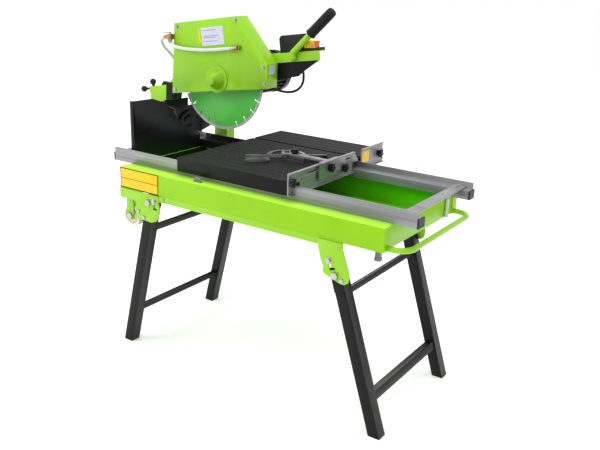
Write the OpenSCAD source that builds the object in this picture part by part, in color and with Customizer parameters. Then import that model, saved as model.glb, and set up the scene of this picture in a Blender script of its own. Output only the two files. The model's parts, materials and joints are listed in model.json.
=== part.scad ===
// Wet tile and stone saw on folding legs.
// Working frame: X along the tub, Y from the operator's side to the rear, Z up, floor at Z = 0.

/* [Tub] */
// Length of the water tub
tub_l = 940; // [900:5:980]
// Width of the water tub
tub_w = 456; // [440:2:480]
// Height of the tub's rim above the floor
tub_top = 607; // [600:1:620]
// Depth of the tub
tub_h = 67; // [60:1:72]
// Thickness of the tub's sheet
sheet_t = 2.5; // [2:0.5:3]

/* [Rails] */
// Length of the two table rails
rail_l = 1074; // [1060:2:1080]
// Width of a rail's square tube
rail_w = 34; // [30:1:36]
// Height of a rail's square tube
rail_h = 26; // [24:1:28]
// Height of the fin on a rail's outer side
fin_h = 18; // [14:1:20]

/* [Legs] */
// Side of the square leg tube
leg_s = 34; // [30:1:36]
// Splay of the left legs from upright, in degrees
left_splay = 13.4; // [10:0.2:16]
// Splay of the right legs from upright, in degrees
right_splay = 18; // [14:0.5:20]
// Side of the square cross tubes between the legs
cross_s = 25; // [20:1:28]
// Side of the other square tubes that join the legs
thin_cross_s = 16; // [14:1:20]

/* [Table] */
// Length of the rolling table
table_l = 412; // [400:2:420]
// Height of the table's upper face above the floor
table_top = 662; // [661:1:664]
// Width of the grooves between the mat's ribs
groove_w = 2.4; // [2:0.2:4]
// Width of the slot in the table under the blade
slot_w = 13; // [13:0.5:14]

/* [Cutting head] */
// Diameter of the diamond blade
blade_d = 350; // [300:10:350]
// Thickness of the blade's rim
rim_t = 3.2; // [2.8:0.1:3.4]
// Angle by which the head stands above level
head_raise = 8.4; // [6:0.1:10]
// Radius of the motor's finned housing
motor_r = 74; // [68:1:80]

/* [Details] */
// Radius of the hoses
hose_r = 6; // [5:0.5:7]
// Radius of the motor cable
cable_r = 4; // [3:0.5:5]
// Outer radius of the star knobs
knob_r = 13; // [11:0.5:14]
// Radius of the ball knobs at the head's pivot
ball_r = 11.5; // [9:0.5:12.5]

/* [Hidden] */
$fn = 48;

green = [0.55, 0.80, 0.12];
dark_green = [0.35, 0.55, 0.08];
black = [0.11, 0.11, 0.12];
silver = [0.74, 0.75, 0.77];
zinc = [0.66, 0.67, 0.68];

// Overall extents of the object in the working frame; the origin goes below the middle of them
min_x = -819.9;
max_x = 539;
min_y = -238;
max_y = 506;
shift_x = -(min_x + max_x) / 2;
shift_y = -(min_y + max_y) / 2;

tub_bottom = tub_top - tub_h;
wall_in = 4;
rail_out = 181;
fin_t = 3.5;
rail_top = tub_top + rail_h;
fin_top = rail_top + fin_h;
bar_t = 5;

leg_out = tub_w / 2 - 3.5;
left_pivot = [-347, 512];
right_pivot = [334, 446];
pivot_bolt_r = 6;
wheel_x = -442;
fit = 0.05;

blade_y = 188;
blade_t = 2.4;
slot_y0 = blade_y - slot_w / 2;
slot_y1 = blade_y + slot_w / 2;
table_x0 = -262;
table_x1 = table_x0 + table_l;
table_y0 = -191;
table_y1 = 348;
slot_end = 118;
mat_t = 4;
tray_t = 3;
tray_z = table_top - mat_t - tray_t;
skirt_z = 620;
wing_skirt = 206;
roller_r = 9;
roller_z = rail_top + 0.3 + roller_r;
roller_y = 161;
roller_x = [table_x0 + 37, table_x1 - 35];

fence_t = 4;
fence_top = 686;
fence_y0 = -200;
fence_y1 = 336;
front_knob = [-192, 661];
rear_knob = [306, 655];

tilt_y = blade_y;
tilt_z = 658.5;
pivot_x = -727;
pivot_z = 762;
guard_y0 = 154;
guard_y1 = 212;
blade_c = [335, 37];
motor_y0 = guard_y1 + 6;
motor_y1 = 470;
channel_y1 = 250;

guard_route = [[158, 143, 176], [158, 143, 171], [161, 143, 165], [168, 143, 159], [180, 143, 155],
  [196, 143, 151], [216, 143, 147], [240, 143, 143], [266, 143, 140], [294, 143, 137],
  [322, 143, 135], [350, 143, 134], [378, 143, 134], [404, 143, 134], [426, 143, 134], [440, 143, 134]];
supply_route = [[128, 150, 190], [119, 150, 190], [111, 151, 185], [106, 154, 176], [104, 160, 166],
  [104, 169, 155], [106, 180, 143], [107, 192, 131], [107, 204, 118], [106, 215, 104], [105, 224, 90],
  [104, 230, 76], [103, 233, 62], [102, 234, 50], [102, 234, 40]];
cable_route = [[435, 262, 12], [444, 262, 12], [456, 259, 6], [480, 255, -4], [505, 252, -12], [532, 250, -20],
  [561, 249, -25], [590, 249, -23], [612, 249, -12], [626, 248, 3], [633, 246, 24], [634, 243, 45],
  [631, 240, 65], [629, 238, 84], [629, 238, 102]];

// ---------- helpers ----------
module placed() {
  translate([shift_x, shift_y, 0]) children();
}

module on_head() {
  placed() translate([pivot_x, 0, pivot_z]) rotate([0, -head_raise, 0]) children();
}

// Box from its lowest corner to its highest corner
module block(low, high) {
  translate(low) cube(high - low);
}

// Cylinder along X, Y or Z from a start point
module rod_x(start, r, l) {
  translate(start) rotate([0, 90, 0]) cylinder(r = r, h = l);
}

module rod_y(start, r, l) {
  translate(start) rotate([-90, 0, 0]) cylinder(r = r, h = l);
}

module rod_z(start, r, l) {
  translate(start) cylinder(r = r, h = l);
}

// Plate with an outline of [x, z] points, thickened along Y
module plate_xz(points, y0, y1) {
  translate([0, y1, 0]) rotate([90, 0, 0]) linear_extrude(y1 - y0) polygon(points);
}

// Plate with an outline of [y, z] points, thickened along X
module plate_yz(points, x0, x1) {
  translate([x0, 0, 0]) rotate([90, 0, 90]) linear_extrude(x1 - x0) polygon(points);
}

module both_sides() {
  children();
  mirror([0, 1, 0]) children();
}

// Star knob on a threaded stem; the stem points along -Z and its seat is at Z = 0
module star_knob(stem_l, stem_r = 4) {
  lobes = 5;
  cylinder(r = knob_r * 0.62, h = 14);
  for (i = [0 : lobes - 1])
    rotate(i * 360 / lobes) translate([knob_r * 0.66, 0, 3]) cylinder(r = knob_r * 0.34, h = 10);
  translate([0, 0, -stem_l]) cylinder(r = stem_r, h = stem_l);
}

// Ball knob on a plain stem; the ball's lowest point is at Z = 0
module ball_knob(stem_l) {
  translate([0, 0, ball_r]) sphere(r = ball_r);
  translate([0, 0, -3]) cylinder(r = 6, h = 5);
  translate([0, 0, -stem_l]) cylinder(r = 4, h = stem_l);
}

// Hex head bolt along +Z, its head below Z = 0
module hex_bolt(r, l) {
  translate([0, 0, -r]) cylinder(r = r * 1.8, h = r, $fn = 6);
  cylinder(r = r, h = l);
}

function unit(v) = v / norm(v);
function tangent(path, i) =
  unit(path[min(i + 1, len(path) - 1)] - path[max(i - 1, 0)]);
function side_axis(t) = unit(cross(t, abs(t[2]) > 0.9 ? [1, 0, 0] : [0, 0, 1]));

// First side vector turned as little as possible from one ring to the next
function frames(path, i = 0, prev = undef) =
  i == len(path) ? [] :
  let (t = tangent(path, i),
       raw = prev == undef ? side_axis(t) : prev - (prev * t) * t,
       u = unit(raw))
  concat([[u, cross(t, u)]], frames(path, i + 1, u));

// Round tube swept along a route
module hose(path, r, sides = 8) {
  f = frames(path);
  rings = len(path);
  pts = [for (i = [0 : rings - 1], k = [0 : sides - 1])
    let (a = 360 * k / sides) path[i] + r * (cos(a) * f[i][0] + sin(a) * f[i][1])];
  walls = [for (i = [0 : rings - 2], k = [0 : sides - 1])
    let (n = (k + 1) % sides)
    [i * sides + k, (i + 1) * sides + k, (i + 1) * sides + n, i * sides + n]];
  first = [[for (k = [0 : sides - 1]) k]];
  last = [[for (k = [sides - 1 : -1 : 0]) (rings - 1) * sides + k]];
  polyhedron(points = pts, faces = concat(walls, first, last), convexity = 6);
}

// ---------- stand ----------
module tub() {
  hx = tub_l / 2;
  hy = tub_w / 2;
  end_x = hx - wall_in;
  flange = 46;
  color(green) placed() difference() {
    block([-hx, -hy, tub_bottom], [hx, hy, tub_top]);
    block([-end_x + sheet_t, -hy + flange + sheet_t, tub_bottom + sheet_t],
          [end_x - sheet_t, hy - flange - sheet_t, tub_top + 1]);
    both_sides() block([-end_x + sheet_t, -hy + sheet_t, tub_bottom - 1],
                       [end_x - sheet_t, -hy + flange, tub_top - sheet_t]);
    for (s = [-1, 1])
      block([s > 0 ? end_x : -hx - 1, -hy + 32, tub_bottom - 1],
            [s > 0 ? hx + 1 : -end_x, hy - 32, tub_top + 1]);
    rod_z([424, -165, tub_bottom - 1], 8, sheet_t + 2);
  }
}

module base_frame() {
  hy = tub_w / 2;
  strip_z = tub_bottom - 19;
  color(green) placed() {
    difference() {
      union() {
        both_sides() for (x = [[-470, -378], [-284, 352]])
          block([x[0], -hy, strip_z], [x[1], -hy + sheet_t, tub_bottom]);
        for (x = [-452, -284, 262])
          block([x, -hy, tub_bottom - 6], [x + 30, hy, tub_bottom]);
        block([-546, -150, 500], [-470, 350, tub_bottom]);
        block([-534, 306, 500], [-476, 349, 690]);
        both_sides() for (y = [-218, -190])
          plate_xz([[-457, 440], [-451, 434], [-434, 434], [-428, 440], [-428, tub_bottom - 2],
                    [-457, tub_bottom - 2]], y, y + 3);
        both_sides() block([-470, -hy, tub_bottom - 6], [-425, -180, tub_bottom]);
      }
      block([-543, -147, 503], [-473, 347, tub_bottom - 3]);
      block([-531, 309, 503], [-479, 346, 687]);
      both_sides() rod_y([wheel_x, -222, 447], pivot_bolt_r, 40);
      for (y = [-110, 60, 240]) rod_z([-508, y, 499], 5, 5);
    }
  }
}

// Cut in a hinge plate in which the lock bolt rides: down, then across
module lock_slot(x, z, lean) {
  translate([x, 0, z]) rotate([0, lean, 0]) {
    rod_y([0, -240, 0], 3.5, 20);
    block([-3.5, -240, -24], [3.5, -220, 0]);
    block([-3.5, -240, -27], [14, -220, -20]);
  }
}

module hinge_plates() {
  color(green) placed() both_sides() {
    left_hinge_plate();
    right_hinge_plate();
  }
}

module left_hinge_plate() {
  hy = tub_w / 2;
  difference() {
    plate_xz([[-470, tub_bottom - 1], [-470, 512], [-466, 508], [-402, 508], [-402, 469],
              [-399, 452], [-388, 446], [-372, 452], [-356, 450], [-336, 449], [-318, 456],
              [-308, 468], [-301, 486], [-300, 500], [-305, 512], [-305, tub_bottom - 1]],
             -hy - 4, -hy);
    rod_y([left_pivot[0], -240, left_pivot[1]], pivot_bolt_r, 20);
    lock_slot(-322, 520, 8);
    for (p = [[-391, 475], [-368, 459]]) rod_y([p[0], -240, p[1]], 4, 20);
  }
  block([-306, -hy - 2, tub_bottom - 19], [-284, -hy, tub_bottom]);
}

module right_hinge_plate() {
  hy = tub_w / 2;
  difference() {
    plate_xz([[276, tub_bottom - 1], [276, 521], [282, 500], [286, 484], [297, 463], [294, 450],
              [300, 444], [318, 438], [336, 432], [352, 427], [364, 427], [374, 434], [377, 446],
              [377, 461], [370, 479], [360, 504], [352, 528], [352, tub_bottom - 1]], -hy - 4, -hy);
    rod_y([right_pivot[0], -240, right_pivot[1]], pivot_bolt_r, 20);
    lock_slot(313, 484, -16);
    rod_y([355, -240, 436], 4, 20);
  }
}

module frame_bolts() {
  hy = tub_w / 2;
  grip_l = 4 + 3.5 + leg_s;
  color(zinc) placed() {
    both_sides() {
      for (p = [left_pivot, right_pivot])
        translate([p[0], -hy - 4, p[1]]) rotate([-90, 0, 0]) hex_bolt(pivot_bolt_r, grip_l + 8);
      for (p = [[-322, 520], [313, 484]])
        translate([p[0], -hy - 4, p[1]]) rotate([-90, 0, 0]) {
          translate([0, 0, -1.5]) cylinder(r = 10, h = 1.5);
          translate([0, 0, -6]) cylinder(r = 6.5, h = 4.5, $fn = 6);
          cylinder(r = 3.5, h = 4);
        }
      for (p = [left_pivot, right_pivot])
        translate([p[0], -leg_out + leg_s + 0.5, p[1]]) rotate([-90, 0, 0])
          cylinder(r = 10.5, h = 6, $fn = 6);
      translate([wheel_x, -218, 447]) rotate([-90, 0, 0]) hex_bolt(pivot_bolt_r, 31);
      for (p = [[-391, 475], [-368, 459], [355, 436]])
        translate([p[0], -hy - 4, p[1]]) rotate([-90, 0, 0]) {
          translate([0, 0, -3]) cylinder(r = 6, h = 3);
          cylinder(r = 4, h = 4);
        }
    }
    for (x = [-514, 497], y = [-158, 158])
      translate([x, y, rail_top + bar_t]) {
        cylinder(r = 7, h = 1.2);
        translate([0, 0, 1.2]) cylinder(r = 5.2, h = 4, $fn = 6);
      }
  }
}

// Aluminium rail: a square tube with a fin along its outer side
module rail() {
  t = 2.5;
  inner = rail_out - rail_w;
  difference() {
    union() {
      block([-rail_l / 2 - 3, inner, tub_top], [rail_l / 2 - 3, rail_out, rail_top]);
      block([-rail_l / 2 - 3, rail_out - fin_t, rail_top - t], [rail_l / 2 - 3, rail_out, fin_top]);
    }
    block([-rail_l, inner + t, tub_top + t], [rail_l, rail_out - t, rail_top - t]);
  }
}

module rails() {
  color(silver) placed() both_sides() rail();
}

module rail_end_plugs() {
  t = 2.5;
  inner = rail_out - rail_w;
  color(black) placed() both_sides() for (s = [-1, 1]) {
    x0 = s * rail_l / 2 - 3;
    block([min(x0, x0 + s * 5), inner, tub_top], [max(x0, x0 + s * 5), rail_out, rail_top]);
    block([min(x0, x0 - s * 20), inner + t, tub_top + t],
          [max(x0, x0 - s * 20), rail_out - t, rail_top - t]);
  }
}

module crossbars() {
  half = rail_out - fin_t;
  color(silver) placed()
    for (x = [-531, 480])
      block([x, -half, rail_top], [x + 34, half, rail_top + bar_t]);
}

module tow_handle() {
  r = 8;
  bend = 40;
  z = 548;
  reach = 525;
  arm_y = 206;
  color([0.62, 0.85, 0.2]) placed() {
    both_sides() rod_x([tub_l / 2, -arm_y, z], r, reach - bend - tub_l / 2);
    rod_y([reach, -arm_y + bend, z], r, 2 * (arm_y - bend));
    both_sides() translate([reach - bend, -arm_y + bend, z]) rotate([0, 0, -90])
      rotate_extrude(angle = 90) translate([bend, 0]) circle(r = r);
  }
}

module drain_fitting() {
  color([0.55, 0.56, 0.57]) placed() difference() {
    union() {
      rod_z([424, -165, 501], 9, tub_bottom - 501);
      rod_z([424, -165, tub_bottom], 8, sheet_t);
      rod_z([424, -165, tub_bottom + sheet_t], 14, 2);
      rod_z([424, -165, tub_bottom - 6], 13, 6);
    }
    rod_z([424, -165, 490], 5.5, 70);
  }
}

module drain_plug() {
  color([0.45, 0.46, 0.47]) placed() {
    rod_z([424, -165, 492], 10.5, 8.7);
    rod_z([424, -165, 500], 5.45, 22);
  }
}

module splash_guard() {
  x1 = -tub_l / 2 + wall_in;
  color(black) placed() difference() {
    union() {
      plate_yz([[-168, rail_top + bar_t + 1], [-146, rail_top + bar_t + 1], [-146, 566], [146, 566],
                [146, 655], [118, 672], [58, 700], [20, 740], [-20, 780], [-80, 801], [-168, 803]],
               x1 - 4, x1);
      plate_yz([[-168, rail_top + bar_t + 1], [-164, rail_top + bar_t + 1], [-164, 803],
                [-168, 803]], x1 - 13, x1);
    }
    for (y = [-100, 0, 100]) rod_x([x1 - 10, y, 586], 3.5, 20);
  }
}

// Outline of a curved slot round the origin between two angles
function arc_slot(r, half, from, to) =
  concat([for (i = [0 : 12]) (r + half) * [cos(from + i * (to - from) / 12), sin(from + i * (to - from) / 12)]],
         [for (i = [12 : -1 : 0]) (r - half) * [cos(from + i * (to - from) / 12), sin(from + i * (to - from) / 12)]]);

// Fixed plate that carries the tilt axis, with the arc in which the tilt lock slides
module tilt_bracket() {
  color(black) placed() difference() {
    union() {
      plate_yz([[40, 500], [350, 500], [350, 560], [300, 600], [240, 640], [188, 650], [136, 640],
                [60, 560], [40, tub_bottom]], -552, -546);
      rod_x([-552, tilt_y, tilt_z], 62, 6);
    }
    rod_x([-560, tilt_y, tilt_z], 8 + fit, 20);
    translate([-560, tilt_y, tilt_z]) rotate([0, 90, 0]) linear_extrude(20)
      polygon(arc_slot(46, 4.6, 173, 232));
  }
}

module level_tube() {
  color([0.88, 0.9, 0.9]) placed() {
    rod_z([tub_l / 2 - wall_in + 6.5, 150, 548], 5, 50);
    rod_z([tub_l / 2 - wall_in + 6.5, 150, 543], 6.5, 5);
  }
}

module side_panel() {
  color([0.93, 0.85, 0.1]) placed()
    block([-468, -tub_w / 2 - 1, tub_bottom + 2], [-307, -tub_w / 2, tub_top - 2]);
}

// ---------- legs ----------
module leg(length) {
  half = leg_s / 2;
  wall = 2;
  difference() {
    union() {
      block([-half, -leg_out, -length], [half, -leg_out + leg_s, 20]);
      plate_xz([[-17, -46], [-10, -56], [10, -56], [17, -46], [17, 8], [10, 19], [-10, 19], [-17, 8]],
               -leg_out - 3, -leg_out);
    }
    block([-half + wall, -leg_out + wall, -length - 1],
          [half - wall, -leg_out + leg_s - wall, 18]);
    rod_y([0, -leg_out - 10, 0], pivot_bolt_r + fit, leg_s + 20);
  }
}

module leg_frame(pivot, splay, crosses) {
  inner = leg_out - leg_s;
  lean = tan(splay);
  color(black) placed() difference() {
    union() {
      both_sides() translate([pivot[0], 0, pivot[1]]) rotate([0, splay, 0]) leg(pivot[1] / cos(splay) + 20);
      for (c = crosses) {
        half = c[1] / 2;
        translate([pivot[0] - (pivot[1] - c[0]) * lean, 0, c[0]]) rotate([0, splay, 0])
          block([-half, -inner, -half], [half, inner, half]);
      }
    }
    block([-900, -400, -200], [900, 400, 0]);
  }
}

module left_leg_frame() {
  leg_frame(left_pivot, left_splay, [[118, thin_cross_s], [415, thin_cross_s]]);
}

module right_leg_frame() {
  leg_frame(right_pivot, -right_splay, [[103, cross_s], [393, thin_cross_s]]);
}

module wheel() {
  r = 36;
  color([0.9, 0.89, 0.84]) placed() difference() {
    union() {
      rod_y([wheel_x, -213, 447], r, 21);
      rod_y([wheel_x, -214.5, 447], 14, 24);
    }
    rod_y([wheel_x, -220, 447], pivot_bolt_r + fit, 40);
    for (y = [-214, -197]) difference() {
      rod_y([wheel_x, y, 447], r - 9, 6);
      rod_y([wheel_x, y - 1, 447], 16, 8);
    }
  }
}

module front_wheel() {
  wheel();
}

module rear_wheel() {
  placed() mirror([0, 1, 0]) translate([-shift_x, -shift_y, 0]) wheel();
}

// ---------- table ----------
module table_tray() {
  t = 2.5;
  top = table_top - mat_t;
  color(black) placed() difference() {
    union() {
      block([table_x0, table_y0, tray_z], [table_x1, table_y1, top]);
      block([table_x0, table_y0, skirt_z], [table_x1, table_y0 + t, table_top]);
      block([table_x0, wing_skirt, skirt_z], [table_x1, wing_skirt + t, tray_z]);
      block([table_x0, table_y1 - t, skirt_z], [table_x1, table_y1, table_top]);
    }
    block([table_x0 - 1, slot_y0, skirt_z - 1], [slot_end, slot_y1, top + 1]);
    for (y = [-150, -30, 90, 300]) rod_z([table_x1 - 14, y, tray_z - 1], 3, 5);
  }
}

module table_mat() {
  t = 2.5;
  base = table_top - mat_t;
  color([0.14, 0.14, 0.15]) placed()
    for (part = [[table_y0 + t, slot_y0, 12], [slot_y1, table_y1 - t, 5]])
      difference() {
        block([table_x0, part[0], base], [table_x1, part[1], table_top]);
        for (i = [1 : part[2] - 1]) {
          y = part[0] + i * (part[1] - part[0]) / part[2];
          block([table_x0 - 1, y - groove_w / 2, table_top - 1.2],
                [table_x1 + 1, y + groove_w / 2, table_top + 1]);
        }
      }
}

// Aluminium stop across the table's right end, with a notch where the blade runs out
module fence() {
  color(silver) placed() difference() {
    union() {
      block([table_x1, fence_y0, 622], [table_x1 + fence_t, fence_y1, fence_top]);
      block([table_x1 + fence_t, fence_y0, 622], [table_x1 + 12, fence_y1, 625]);
      block([table_x1 + fence_t, fence_y0, fence_top - 3], [table_x1 + 9, fence_y1, fence_top]);
    }
    plate_yz([[150, fence_top + 1], [198, fence_top + 1], [198, 646], [186, 646]],
             table_x1 - 1, table_x1 + 20);
    both_sides() block([table_x1 - 1, -rail_out - 1, 600],
                       [table_x1 + 30, -rail_out + rail_w + 3, fin_top + 2]);
    for (p = [front_knob, rear_knob]) rod_x([table_x1 - 1, p[0], p[1]], 4 + fit, 8);
    block([table_x1 - 1, -110, 666], [table_x1 + 6, 130, 673]);
  }
}

module roller_axles() {
  color(zinc) placed() for (s = [-1, 1], x = roller_x) {
    y_in = roller_y - 15;
    y_out = roller_y + 12.5;
    for (y = [y_in, y_out])
      difference() {
        block([x - 8, min(s * y, s * (y + 2.5)), roller_z - 6],
              [x + 8, max(s * y, s * (y + 2.5)), tray_z]);
        rod_y([x, -200, roller_z], 4, 400);
      }
    rod_y([x, min(s * y_in, s * (y_out + 2.5)), roller_z], 4, y_out + 2.5 - y_in);
  }
}

module roller(x, side) {
  width = 20;
  y0 = side * (roller_y - 1) - width / 2;
  color([0.2, 0.2, 0.22]) placed() difference() {
    rod_y([x, y0, roller_z], roller_r, width);
    rod_y([x, y0 - 1, roller_z], 4 + fit, width + 2);
  }
}

module front_left_roller() {
  roller(roller_x[0], -1);
}

module front_right_roller() {
  roller(roller_x[1], -1);
}

module rear_left_roller() {
  roller(roller_x[0], 1);
}

module rear_right_roller() {
  roller(roller_x[1], 1);
}

module fence_knob(at) {
  color(black) placed() translate([table_x1 + fence_t + 0.3, at[0], at[1]]) rotate([0, 90, 0]) {
    translate([0, 0, 1.2]) star_knob(5.2);
    cylinder(r = 9, h = 1.2);
  }
}

module fence_front_knob() {
  fence_knob(front_knob);
}

module fence_rear_knob() {
  fence_knob(rear_knob);
}

// ---------- mitre gauge ----------
gauge_c = [12, -8];
bar_z = 684;

module gauge_carriage() {
  x0 = table_x1 + fence_t + 0.3;
  y = gauge_c[1];
  color(silver) placed() {
    difference() {
      union() {
        block([gauge_c[0], y - 10, bar_z], [x0 + 20, y + 10, bar_z + 6]);
        rod_z([gauge_c[0], y, bar_z], 16, 6);
      }
      rod_z([gauge_c[0], y, bar_z - 1], 5 + fit, 10);
      block([gauge_c[0] + 20, y - 3, bar_z - 1], [gauge_c[0] + 50, y + 3, bar_z + 7]);
      block([table_x1 - 0.3, y - 30, bar_z - 5], [table_x1 + 9.3, y + 30, fence_top + 0.3]);
    }
    difference() {
      union() {
        block([x0 + 6, y - 52, 640], [x0 + 10, y + 92, 690]);
        block([x0 + 6, y - 52, 690], [x0 + 20, y - 10, 694]);
        block([x0 + 6, y + 10, 690], [x0 + 20, y + 42, 694]);
        block([x0 + 6, y - 10, 690], [x0 + 20, y + 10, 694]);
      }
      for (p = [[1, 669], [78, 654]]) rod_x([x0, y + p[0], p[1]], 4 + fit, 20);
    }
  }
}

module carriage_knob() {
  color(black) placed() translate([table_x1 + fence_t + 10.8, gauge_c[1] + 1, 669])
    rotate([0, 90, 0]) star_knob(10);
}

module bar_knob() {
  color(black) placed() translate([table_x1 + fence_t + 10.8, gauge_c[1] + 78, 654])
    rotate([0, 90, 0]) star_knob(6);
}

module gauge_arms() {
  arm_z = table_top + 1.2;
  top = bar_z - 0.4;
  angle = 41.5;
  color(silver) placed() translate([gauge_c[0], gauge_c[1], 0]) {
    difference() {
      rod_z([0, 0, top - 6], 58, 6);
      rod_z([0, 0, top - 7], 44, 8);
      rotate(angle) block([-70, -70, top - 8], [70, -4, top + 1]);
    }
    rotate(angle) {
      block([-124, -14, arm_z], [-52, -4, arm_z + 3]);
      block([-124, -7, arm_z], [-52, -4, top]);
      block([52, -14, arm_z], [124, -4, arm_z + 3]);
      block([52, -7, arm_z], [124, -4, top]);
      block([-124, -7, top - 6], [124, -1, top]);
      block([-6, -4, top - 6], [6, 46, top]);
    }
    rod_z([0, 0, top - 6], 12, 6);
    rod_z([0, 0, top], 5, 9);
    rod_z([0, 0, bar_z + 6.3], 8, 5);
  }
}

module angle_knob() {
  color(black) placed() translate([gauge_c[0] + 30, gauge_c[1], bar_z + 6.3]) {
    star_knob(5, 2.7);
  }
}

// ---------- tilt frame ----------
module tilt_frame() {
  color([0.16, 0.17, 0.16]) placed() {
    difference() {
      union() {
        rod_x([-560, tilt_y, tilt_z], 58, 6.6);
        plate_yz([[188, 600], [248, 633], [340, 655], [340, 680], [262, 708], [240, 736], [193, 736],
                  [183, 736], [183, 764], [150, 764], [70, 768], [70, 752], [118, 730], [130, 690]],
                 -560, -553.4);
        block([pivot_x - 40, 214, 656], [-560, 262, 704]);
        plate_xz([[pivot_x - 40, 656], [pivot_x + 70, 656], [pivot_x + 40, 770], [pivot_x + 24, 792],
                  [pivot_x - 24, 792], [pivot_x - 40, 770]], 264, 276);
        block([pivot_x - 40, 262, 656], [pivot_x + 70, 264, 704]);
      }
      block([pivot_x - 37, 217, 659], [-563, 259, 701]);
      rod_x([-570, tilt_y, tilt_z], 8, 20);
      translate([-570, tilt_y, tilt_z]) rotate([0, 90, 0]) translate([-46, 0, 0])
        cylinder(r = 4 + fit, h = 30);
      rod_y([pivot_x, 260, pivot_z], 12, 20);
    }
    rod_x([-572, tilt_y, tilt_z], 8, 31);
    rod_x([-545.7, tilt_y, tilt_z], 12, 4);
    rod_x([-576, tilt_y, tilt_z], 13, 4);
  }
}

module plunge_shaft() {
  color(zinc) placed() {
    rod_y([pivot_x, 216.3, pivot_z], 12, 63.7);
    rod_y([pivot_x, 276, pivot_z], 17, 6);
  }
}

module tilt_knob() {
  color(black) placed() translate([-560.6, tilt_y, tilt_z + 46]) rotate([0, -90, 0]) star_knob(14);
}

// ---------- cutting head ----------
guard_outline = [[127, -3], [177, 234], [451, 234], [557, 74], [545, -3]];
guard_inside = [[130.1, -4], [179.1, 231.5], [449.6, 231.5], [554.3, 73.4], [542.4, -4]];

module head_frame() {
  on_head() color(green) {
    difference() {
      union() {
        plate_xz([[-42, 20], [-42, -36], [43, -36], [127, 0], [540, 0], [552, 74], [530, 105],
                  [460, 170], [230, 170], [150, 90], [43, 20]], guard_y1, motor_y0);
        block([-42, guard_y1, -36], [43, 262, 20]);
      }
      rod_y([0, 216, 0], 12 + fit, 90);
      rod_y([blade_c[0], 200, blade_c[1]], 30, 30);
      rod_x([-50, 222, 12], 4 + fit, 12);
      rod_z([-30, 222, 5], 4 + fit, 20);
    }
    difference() {
      block([530, guard_y1, 75], [722, channel_y1, 105]);
      block([533, guard_y1 + 3, 70], [723, channel_y1 + 1, 102]);
    }
    handle_bar();
  }
}

// Black stiffener under the handle's channel
module handle_gusset() {
  on_head() color(black)
    plate_xz([[543.25, 20], [552, 74], [552, 102], [718, 102], [718, 75], [661, 46], [632, 28]],
             guard_y1 + 3, guard_y1 + 6);
}

// Bent green tube that carries the grip
bar_knee = [628, guard_y1 - 10, 104];
bar_end = [700, guard_y1 - 10, 155];
bar_lean = atan2(bar_end[0] - bar_knee[0], bar_end[2] - bar_knee[2]);

module handle_bar() {
  r = 10;
  hull() {
    translate([627, guard_y1 - r, 86]) sphere(r = r, $fn = 24);
    translate(bar_knee) sphere(r = r, $fn = 24);
  }
  hull() {
    translate(bar_knee) sphere(r = r, $fn = 24);
    translate(bar_end) rotate([0, bar_lean, 0]) cylinder(r = r, h = 1, $fn = 24);
  }
}

module handle_grip() {
  on_head() color(black) translate(bar_end) rotate([0, bar_lean, 0]) {
    translate([0, 0, 1]) cylinder(r = 17, h = 6);
    translate([0, 0, 7]) cylinder(r = 16, h = 96);
    translate([0, 0, 103]) cylinder(r1 = 16, r2 = 12, h = 8);
  }
}

module guard_shell() {
  on_head() color(green) difference() {
    plate_xz(guard_outline, guard_y0, guard_y1);
    plate_xz(guard_inside, guard_y0 + sheet_t, guard_y1 - sheet_t);
    rod_y([blade_c[0], guard_y0 - 1, blade_c[1]], 32, 80);
  }
}

module guard_flap() {
  on_head() color([0.09, 0.09, 0.1])
    plate_xz([[101, 33], [134.59, 33], [127, -3], [118, -27], [94, -68], [62, -68], [89, -27]],
             guard_y0 + 2, guard_y1 - 6);
}

module arbor_cover() {
  on_head() color(green) translate([blade_c[0] + 5, guard_y0, blade_c[1]]) rotate([90, 0, 0])
    difference() {
      union() {
        cylinder(r = 46, h = 3);
        translate([0, 0, 3]) cylinder(r1 = 36, r2 = 17, h = 33);
        translate([0, 0, 36]) cylinder(r = 17, h = 3);
      }
      translate([0, 0, -1]) cylinder(r = 32, h = 5);
      translate([0, 0, 3]) cylinder(r1 = 33, r2 = 14, h = 33);
    }
}

module guard_screws() {
  on_head() color(zinc) for (p = [[187, 221], [445, 221], [541, 66], [143, 9], [540, 12]])
    translate([p[0], guard_y0, p[1]]) rotate([90, 0, 0]) {
      cylinder(r = 7, h = 1.2);
      translate([0, 0, 1.2]) cylinder(r = 5, h = 3.6, $fn = 6);
    }
}

module motor_housing() {
  fins = 28;
  body_r = motor_r - 10;
  on_head() color(black) translate([blade_c[0], motor_y0, blade_c[1]]) rotate([-90, 0, 0])
    difference() {
      union() {
        cylinder(r = body_r, h = motor_y1 - motor_y0);
        cylinder(r = motor_r - 2, h = 10);
        for (i = [0 : fins - 1])
          rotate(i * 360 / fins + 2) translate([body_r - 3, -1.5, 13])
            cube([13, 3, motor_y1 - motor_y0 - 15]);
        translate([body_r - 14, 8, 14]) cube([114 - body_r, 34, 62]);
      }
      translate([0, 0, 12]) cylinder(r = body_r - 24, h = 300);
      translate([0, 0, -1]) cylinder(r = 20, h = 30);
    }
}

module motor_cover() {
  depth = 36;
  on_head() color(black) translate([blade_c[0], motor_y1, blade_c[1]]) rotate([-90, 0, 0])
    difference() {
      union() {
        cylinder(r = motor_r + 2, h = depth - 8);
        translate([0, 0, depth - 8]) cylinder(r1 = motor_r + 2, r2 = motor_r - 8, h = 8);
      }
      translate([0, 0, 6]) cylinder(r = motor_r - 1, h = depth - 14);
      translate([0, 0, -1]) cylinder(r = 20, h = 10);
      for (i = [0 : 11])
        rotate(i * 30) translate([28, -3, depth - 10]) cube([34, 6, 20]);
    }
}

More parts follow.
